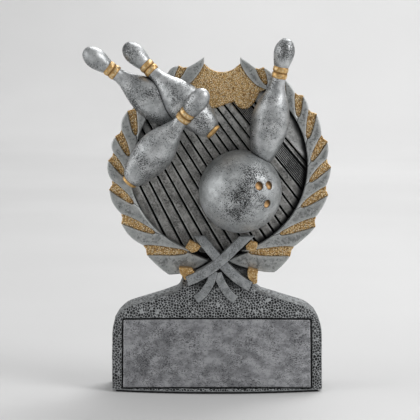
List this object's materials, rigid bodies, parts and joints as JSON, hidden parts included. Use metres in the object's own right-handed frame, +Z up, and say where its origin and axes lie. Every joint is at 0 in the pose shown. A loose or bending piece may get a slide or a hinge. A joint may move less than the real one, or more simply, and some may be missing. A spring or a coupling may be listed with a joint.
{
  "type": "bowling trophy",
  "caption": "Free-standing relief trophy: a leaf wreath round a bowling lane with pins and a ball, tied by a ribbon, on a bell-shaped base with a blank name panel.",
  "frame": {"origin": "middle of the felt underside, level with the surface that the trophy stands on, below the centre line of the name panel", "axes": "+Z up the trophy's height, -Y out of its front, +X to the right as seen from the front"},
  "size_m": [0.1103, 0.0375, 0.1569],
  "materials": {
    "felt": "matt dark felt",
    "pebbled_base": "cast resin, antique silver paint over a black pebbled ground, satin",
    "smooth_panel": "cast resin, smooth brushed antique silver paint with dark mottling, satin",
    "dark_back": "cast resin, dark silver wash, satin",
    "silver_leaf": "cast resin, antique silver paint, satin",
    "gold_pebbled": "cast resin, antique gold paint on a pebbled ground, semi-gloss",
    "lane_silver": "cast resin, dark antique silver paint with rubbed edges, satin",
    "gold_smooth": "cast resin, gold paint, semi-gloss",
    "ribbon_silver": "cast resin, antique silver paint, satin",
    "speckled_silver": "cast resin, bright silver paint with fine black speckle, semi-gloss"
  },
  "bodies": {
    "root": {"back_plate": "dark_back", "ball": "speckled_silver", "base_block": "pebbled_base", "crest_field": "gold_pebbled", "crest_leaf_left": "silver_leaf", "crest_leaf_right": "silver_leaf", "felt_pad": "felt", "finger_liner_left": "gold_smooth", "finger_liner_right": "gold_smooth", "gold_inlays_left": "gold_pebbled", "gold_inlays_right": "gold_pebbled", "gutter_bank": "lane_silver", "gutter_ribs": "lane_silver", "lane_boards": "lane_silver", "lane_edge_strip": "lane_silver", "leaf_left_1": "silver_leaf", "leaf_left_2": "silver_leaf", "leaf_left_3": "silver_leaf", "leaf_left_4": "silver_leaf", "leaf_left_5": "silver_leaf", "leaf_left_6": "silver_leaf", "leaf_left_7": "silver_leaf", "leaf_left_8": "silver_leaf", "leaf_left_9": "silver_leaf", "leaf_right_1": "silver_leaf", "leaf_right_2": "silver_leaf", "leaf_right_3": "silver_leaf", "leaf_right_4": "silver_leaf", "leaf_right_5": "silver_leaf", "leaf_right_6": "silver_leaf", "leaf_right_7": "silver_leaf", "leaf_right_8": "silver_leaf", "leaf_right_9": "silver_leaf", "name_panel": "smooth_panel", "pin_1_body": "speckled_silver", "pin_1_neck_band": "gold_smooth", "pin_2_base_ring": "gold_smooth", "pin_2_body": "speckled_silver", "pin_2_neck_band": "gold_smooth", "pin_3_base_ring": "gold_smooth", "pin_3_body": "speckled_silver", "pin_3_neck_band": "gold_smooth", "pin_4_body": "speckled_silver", "pin_4_neck_band": "gold_smooth", "ribbon_band_back": "ribbon_silver", "ribbon_band_front": "ribbon_silver", "ribbon_fold_lower_left": "gold_smooth", "ribbon_fold_lower_right": "gold_smooth", "ribbon_fold_upper_left": "gold_smooth", "ribbon_fold_upper_right": "gold_smooth", "ribbon_tail_left": "ribbon_silver", "ribbon_tail_right": "ribbon_silver", "thumb_liner": "gold_smooth"}
  },
  "joints": []
}
